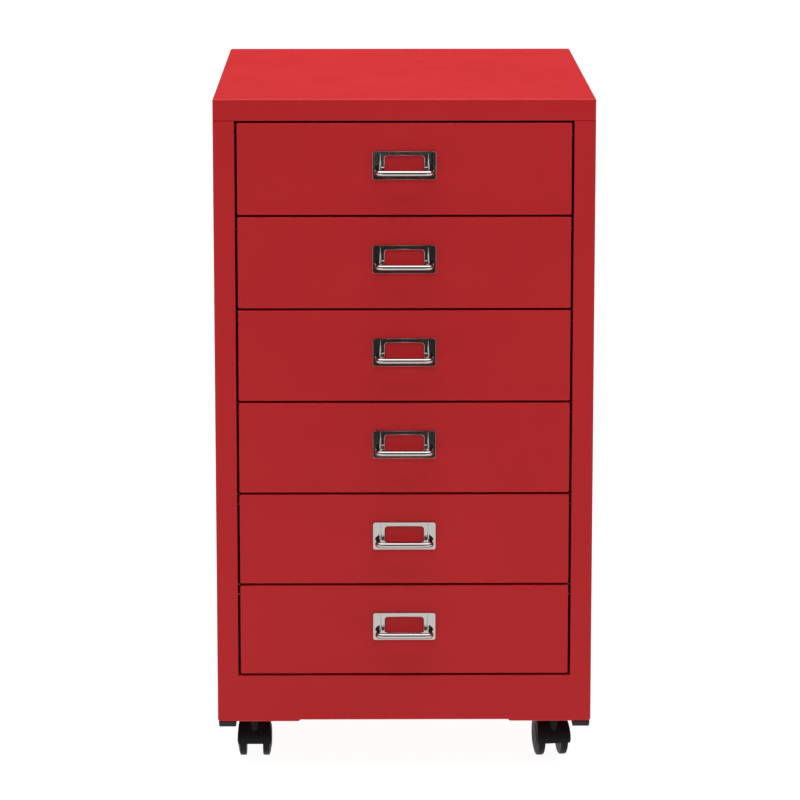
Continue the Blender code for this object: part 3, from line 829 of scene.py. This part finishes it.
def wheel_section():
    """Radius and distance out along the axle: the hub, a small inner edge, the narrow tread, a
    small outer edge, and a dome whose fall grows with a power of the radius. Each groove in the
    dome is a bell curve taken away."""
    a = quarter(6)
    edge = WHEEL_EDGE
    t = np.linspace(0, 1, 18)
    radius = (WHEEL_RADIUS - edge) * (1 - t)
    dome = WHEEL_WIDTH - DOME_FALL * (radius / WHEEL_RADIUS) ** DOME_POWER
    for place, width in GROOVES:
        dome -= GROOVE_DEPTH * np.exp(-(((radius - place) / width) ** 2))
    inner = np.column_stack([WHEEL_RADIUS - edge * (1 - np.sin(a)), edge * (1 - np.cos(a))])
    outer = np.column_stack(
        [WHEEL_RADIUS - edge * (1 - np.cos(a)), dome[0] - edge * (1 - np.sin(a))]
    )
    start = np.array([[0.0, 0.0], [WHEEL_HUB, 0.0], [WHEEL_RADIUS - 2 * edge, 0.0]])
    return np.vstack([start, inner, outer, np.column_stack([radius, dome])[1:]])


def turned(section, steps=64):
    """The section turned about X: radius swings in Y and Z, and the second column runs along X."""
    turn = np.linspace(0, 2 * math.pi, steps, endpoint=False)
    radius = section[:, 0][:, None]
    x = np.broadcast_to(section[:, 1][:, None], (len(section), steps))
    return np.stack([x, radius * np.cos(turn), radius * np.sin(turn)], -1)


wheel = turned(wheel_section())
print("wheel grid", wheel.shape)

# %% [markdown]
# The hood keeps hands and cables away from the wheels and carries them: its web holds the axle,
# and a post on top takes the stem. All three are drawn round the middle of the axle.

# %% Hood
HOOD_RADIUS = 0.0170
HOOD_HALF = 0.0130
HOOD_WALL = 0.0012
TRAIL = 0.0110
SKIRT = -0.0023  # lower edge, from the axle
HOOD_SHOULDER = 0.0012
HOOD_CROWN = 0.0005
HOOD_SINK = 0.0004
ARCH_TURN = (188, 4)  # degrees, from the front over the top to the rear
NARROWING = 0.13
NOSE_NARROWING = 0.03
WEB_HALF = 0.0059
WEB_EDGE = 0.0008
BOSS_RADIUS = 0.0042


def hood_arch():
    """A section with a gently crowned outside and rounded shoulders, carried from just below the
    axle in front, over the wheels, to just above it behind. In front it gets narrower towards the
    top with the square of the height, and behind it stays narrow."""
    a = quarter(6)
    shoulder = HOOD_SHOULDER
    right = np.column_stack([HOOD_HALF - shoulder * (1 - np.sin(a)), -shoulder * (1 - np.cos(a))])
    lip = np.array([[HOOD_HALF, -HOOD_WALL * 0.95], [HOOD_HALF - 0.0004, -HOOD_WALL]])
    half = np.vstack([right, lip])
    section = np.vstack([half, half[::-1] * (-1, 1)])
    across = section[:, 0]
    crown = HOOD_CROWN * (1 - (across / HOOD_HALF) ** 2)
    turn = np.radians(np.linspace(*ARCH_TURN, 50))[:, None]
    radius = HOOD_RADIUS - HOOD_SINK + (section[:, 1] + crown)[None] + 0 * turn
    rise = np.where(np.cos(turn) < 0, np.clip(np.sin(turn), 0, 1), 1)
    narrow = 1 - NARROWING * rise**2 - NOSE_NARROWING * np.clip(-10 * np.sin(turn), 0, 1)
    return np.stack([across * narrow, radius * np.cos(turn), radius * np.sin(turn)], -1)


def hood_web():
    """The block between the wheels: its outline in Y and Z drawn at several widths, a little
    smaller at both faces so that its edges are rounded."""
    inside = HOOD_RADIUS - HOOD_WALL / 2
    turn = np.linspace(math.pi + 0.10, 0, 30)
    over = np.column_stack([inside * np.cos(turn), inside * np.sin(turn)])
    heel = np.array([[inside, SKIRT + 0.004], [inside - 0.002, SKIRT + 0.001], [0.0060, SKIRT]])
    hub = np.radians(np.linspace(-35, -145, 7))
    boss = np.column_stack([BOSS_RADIUS * np.cos(hub), BOSS_RADIUS * np.sin(hub)])
    nose = np.array([[-0.0060, SKIRT], [-inside + 0.0006, SKIRT]])
    outline = np.vstack([over, heel, boss, nose])
    a = quarter(4)
    from_face = WEB_EDGE * (1 - np.cos(a))
    width = np.concatenate([-WEB_HALF + from_face, WEB_HALF - from_face[::-1]])
    inset = WEB_EDGE * (1 - np.sin(np.concatenate([a, a[::-1]])))
    middle = outline.mean(axis=0)
    away = outline - middle
    away /= np.linalg.norm(away, axis=1)[:, None]
    ring = outline[None] - away[None] * inset[:, None, None]
    x = np.broadcast_to(width[:, None], ring.shape[:2])
    return np.stack([x, ring[..., 0], ring[..., 1]], -1)


POST_RADIUS = 0.0034
POST_LOW = 0.0040
POST_HIGH = HOOD_RADIUS - 0.0002
POST_ALONG = -TRAIL - 0.0006
POST_END = 0.0028
POST_SIDES = 32
POST_CHAMFER = 0.0003


def upright_post(radius, low, high, along, round_end):
    """A post on the stem's line: a section turned about Z, with an elliptic lower end."""
    a = quarter(6)
    section = [[0.0, low]]
    section += [[radius * math.sin(t), low + round_end * (1 - math.cos(t))] for t in a[1:]]
    section += [[radius, high - POST_CHAMFER], [radius - POST_CHAMFER, high], [0.0, high]]
    section = np.array(section)
    turn = np.linspace(0, 2 * math.pi, POST_SIDES, endpoint=False)
    r = section[:, 0][:, None]
    z = np.broadcast_to(section[:, 1][:, None], (len(section), POST_SIDES))
    return np.stack([r * np.cos(turn), along + r * np.sin(turn), z], -1)


hood_grids = [
    (hood_arch(), True, False, True),
    (hood_web(), True, False, True),
    (upright_post(POST_RADIUS, POST_LOW, POST_HIGH, POST_ALONG, POST_END), True, False, False),
]
print("hood parts", len(hood_grids))

# %% [markdown]
# Each caster has its own place and its own turn. Both are read from the joint of its left wheel:
# the joint's point is the middle of the axle, and its axis tells the way the caster faces.

# %% Casters in their places


def turned_about(points, yaw):
    """Points turned about Z by a yaw in radians."""
    c = math.cos(yaw)
    s = math.sin(yaw)
    x, y, z = np.moveaxis(points, -1, 0)
    return np.stack([c * x - s * y, s * x + c * y, z], -1)


wheel_joints = {j["child"]: j for j in frame["joints"] if j["name"].endswith("_left_wheel_spin")}
for body, joint in wheel_joints.items():
    caster = joint["parent"]
    centre = np.array(joint["pos_m"])
    yaw = math.atan2(joint["axis"][1], joint["axis"][0])
    grids = [(turned_about(g, yaw) + centre, *rest) for g, *rest in hood_grids]
    piece(f"{caster}_hood_shell", grids, nylon, caster, "black_nylon", f"{caster}_hood")
    for side, way in (("left", -1), ("right", 1)):
        shape = wheel * (way, 1, 1) + (way * WHEEL_INNER, 0, 0)
        shape = turned_about(shape, yaw) + centre
        grid = [(shape, True, False, False)]
        part = f"{caster}_wheel_{side}"
        piece(f"{part}_tyre", grid, nylon, f"{caster}_{side}_wheel", "black_nylon", part)

# %% [markdown]
# ## Feet and the pieces that stay
#
# The feet are soft pads, so they are pans with a heavy bend and no hollow. The remaining CAD nodes
# already have their true shape and only need their finish.

# %% Feet
PAD_CORNER = 0.0018
PAD_TAPER = 0.0006
PAD_EDGE = 0.0005
PAD_RING = 0.004
PAD_CHAMFER = 0.0003


def pad_section(height, taper, edge):
    """Insets and heights of a solid pad that narrows upwards, with a rounded rim."""
    a = quarter(6)
    rim = np.column_stack([taper + edge * (1 - np.sin(a)), edge * (np.cos(a) - 1)])
    foot = [[PAD_CHAMFER, -height + PAD_CHAMFER], [2 * PAD_CHAMFER, -height]]
    return np.vstack([[[PAD_RING, 0.0]], rim, foot, [[PAD_RING, -height]]])


for end in ("front", "rear"):
    for side in ("left", "right"):
        node = f"corner_foot_{end}_{side}"
        low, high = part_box(node)
        half = ((high.x - low.x) / 2, (high.y - low.y) / 2)
        pad = pan(*half, PAD_CORNER, pad_section(high.z - low.z, PAD_TAPER, PAD_EDGE))
        pad = pad * (1, 1, -1) + ((low.x + high.x) / 2, (low.y + high.y) / 2, low.z)
        piece(f"{node}_pad", [(pad, True, False, True)], rubber, "case", "grey_rubber", node)

# %% [markdown]
# The trays, the back, the base, the runners, the stems and the axles are mostly hidden, and their
# CAD shape is right. They keep it and only take a finish.

# %% Finishes of the CAD nodes that stay
stay = {"_tray": enamel, "back_panel": enamel, "base_panel": enamel, "runner_": zinc}
stay |= {"_stem": zinc, "_axle": zinc}
for name, node in frame["nodes"].items():
    for part, finish in stay.items():
        if part in name:
            node.data.materials.clear()
            node.data.materials.append(finish)
print("kept", sum(1 for n in frame["nodes"] if any(p in n for p in stay)), "CAD nodes")

# %% [markdown]
# ## The studio
#
# A white floor runs far out on every side. From a metre in front of the cabinet lies a narrow
# black cloth that only reflections see: bright metal shows whatever stands before it, and the
# upper pulls look dark because they mirror the cloth while the lower ones mirror the floor.

# %% Floor and cloth
STAGE_WHITE = (0.12, 0.12, 0.12)  # a dark base keeps shadows and red light off the glowing floor
CLOTH_BLACK = (0.035, 0.033, 0.031)
FLOOR_HALF = 14
CLOTH_HALF = 0.42
CLOTH_FAR = -4.6
CLOTH_GAP = 0.98  # from the cabinet's face to the cloth
CLOTH_LIFT = 0.0015


def flat_sheet(name, low, high, z, material):
    """A level grid from one corner to the other."""
    x, y = np.meshgrid(np.linspace(low[0], high[0], 25), np.linspace(low[1], high[1], 25))
    points = np.stack([x, y, np.full_like(x, z)], -1)
    mesh = surface_mesh(name, [(points, False, False, False)])
    mesh.materials.append(material)
    obj = bpy.data.objects.new(name, mesh)
    bpy.context.scene.collection.objects.link(obj)
    return obj


def matt(name, colour, glow):
    """A surface without gloss that may glow by itself."""
    made, tree, shader = new_material(name)
    shader.inputs["Base Color"].default_value = (*colour, 1)
    shader.inputs["Roughness"].default_value = 1.0
    shader.inputs["Specular IOR Level"].default_value = 0.0
    shader.inputs["Emission Color"].default_value = (1, 1, 1, 1)
    shader.inputs["Emission Strength"].default_value = glow
    return made


cloth_black = matt("cloth_black", CLOTH_BLACK, 0.0)
cloth_low = (-CLOTH_HALF, CLOTH_FAR)
cloth_high = (CLOTH_HALF, FACE_Y - CLOTH_GAP)
cloth = flat_sheet("studio_cloth", cloth_low, cloth_high, CLOTH_LIFT, cloth_black)
cloth.visible_camera = False
cloth.visible_diffuse = False
cloth.visible_shadow = False
print("cloth from", cloth_low, "to", [round(v, 3) for v in cloth_high])

# %% [markdown]
# A white floor under one lamp would be grey far out and dark under the cabinet. So this floor has
# a dark base and glows by itself, a little less round the cabinet.

# %% Glowing floor
GLOW_NEAR = 0.96
GLOW_FAR = 0.98
GLOW_MIDDLE = (0.0, -1.2, 0.0)  # the dimmer part of the floor lies round this point
GLOW_FROM = 1.6
GLOW_TO = 3.0


def floor_glow(made):
    """The floor glows by itself: less near the cabinet, so that its shadow shows a little, and
    more far out, where the panel's light no longer reaches. The glow follows the distance."""
    tree = made.node_tree
    place = tree.nodes.new("ShaderNodeTexCoord")
    distance = tree.nodes.new("ShaderNodeVectorMath")
    distance.operation = "DISTANCE"
    distance.inputs[1].default_value = GLOW_MIDDLE
    rise = tree.nodes.new("ShaderNodeMapRange")
    rise.interpolation_type = "SMOOTHSTEP"
    rise.inputs["From Min"].default_value = GLOW_FROM
    rise.inputs["From Max"].default_value = GLOW_TO
    rise.inputs["To Min"].default_value = GLOW_NEAR
    rise.inputs["To Max"].default_value = GLOW_FAR
    tree.links.new(place.outputs["Object"], distance.inputs[0])
    tree.links.new(distance.outputs["Value"], rise.inputs["Value"])
    shader = tree.nodes["Principled BSDF"]
    tree.links.new(rise.outputs["Result"], shader.inputs["Emission Strength"])


floor_white = matt("floor_white", STAGE_WHITE, GLOW_NEAR)
floor_glow(floor_white)
corner = (FLOOR_HALF, FLOOR_HALF)
flat_sheet("studio_floor", (-FLOOR_HALF, -FLOOR_HALF), corner, 0.0, floor_white)
print("floor glow", GLOW_NEAR, "to", GLOW_FAR)

# %% [markdown]
# From low down the eye would look over the floor's far edge. An upright white ring stands there.
# Only direct sight meets it: it sends no light and no reflection back to the cabinet.

# %% Backdrop
RING_RADIUS = 13.5
RING_HEIGHT = 6.0


def backdrop_ring(radius, height):
    """An upright ring: X and Y follow the cosine and sine of the turn, Z runs from the floor up."""
    turn = np.linspace(0, 2 * math.pi, 96, endpoint=False)
    z = np.array([[0.0], [height]])
    x = radius * np.cos(turn) + 0 * z
    y = radius * np.sin(turn) + 0 * z
    return np.stack([x, y, z + 0 * turn], -1)


ring = backdrop_ring(RING_RADIUS, RING_HEIGHT)
ring_mesh = surface_mesh("studio_backdrop", [(ring, True, False, False)])
ring_mesh.materials.append(matt("backdrop_white", STAGE_WHITE, 1.0))
backdrop = bpy.data.objects.new("studio_backdrop", ring_mesh)
bpy.context.scene.collection.objects.link(backdrop)
backdrop.visible_diffuse = False
backdrop.visible_glossy = False
backdrop.visible_shadow = False
print("backdrop ring", ring.shape)

# %% [markdown]
# The light is one large soft panel above and a pale room all round. The room is nearly dark low
# down, which draws the dark line along each chrome bar.

# %% Lights
ROOM = 0.64
ROOM_DARKENING = 0.96  # share of the room's light that is missing low down
DARK_BELOW = 0.35  # height on a unit sphere
FULL_ABOVE = 0.85
PANEL_PLACE = (0.0, 0.35, 3.0)
PANEL_AIM = (0, 0.35, 0.3)
PANEL_SIZE = (5.0, 5.0)
PANEL_POWER = 186


def soft_light(name, place, size, power, aim):
    """A rectangular lamp that looks at a point: it is tipped by the angle from straight down."""
    lamp = bpy.data.lights.new(name, "AREA")
    lamp.shape = "RECTANGLE"
    lamp.size = size[0]
    lamp.size_y = size[1]
    lamp.energy = power
    obj = bpy.data.objects.new(name, lamp)
    obj.location = place
    away = np.array(place) - np.array(aim)
    flat = math.hypot(away[0], away[1])
    obj.rotation_euler = (math.atan2(flat, away[2]), 0, math.atan2(away[0], -away[1]))
    bpy.context.scene.collection.objects.link(obj)
    return obj


soft_light("top_softbox", PANEL_PLACE, PANEL_SIZE, PANEL_POWER, PANEL_AIM)

world = bpy.data.worlds.new("studio_room")
bpy.context.scene.world = world
world.use_nodes = True
sky = world.node_tree
coordinate = sky.nodes.new("ShaderNodeTexCoord")
split = sky.nodes.new("ShaderNodeSeparateXYZ")
sky.links.new(coordinate.outputs["Generated"], split.inputs["Vector"])


def sky_range(value, low, high, to_low, to_high):
    """A smooth step from one level to another as the value goes from low to high."""
    node = sky.nodes.new("ShaderNodeMapRange")
    node.interpolation_type = "SMOOTHSTEP"
    node.inputs["From Min"].default_value = low
    node.inputs["From Max"].default_value = high
    node.inputs["To Min"].default_value = to_low
    node.inputs["To Max"].default_value = to_high
    sky.links.new(value, node.inputs["Value"])
    return node.outputs["Result"]


def sky_math(kind, first, second):
    """One sum on two values, each a number or another node's output."""
    node = sky.nodes.new("ShaderNodeMath")
    node.operation = kind
    for socket, value in zip(node.inputs, (first, second)):
        if isinstance(value, (int, float)):
            socket.default_value = value
        else:
            sky.links.new(value, socket)
    return node.outputs["Value"]


low_down = sky_range(split.outputs["Z"], DARK_BELOW, FULL_ABOVE, 1.0, 0.0)
level = sky_math("SUBTRACT", 1.0, sky_math("MULTIPLY", low_down, ROOM_DARKENING))
background = sky.nodes["Background"]
background.inputs["Color"].default_value = (1, 1, 1, 1)
sky.links.new(sky_math("MULTIPLY", level, ROOM), background.inputs["Strength"])

bpy.context.scene.view_settings.view_transform = "Standard"
print("panel", PANEL_POWER, "W, room", ROOM)
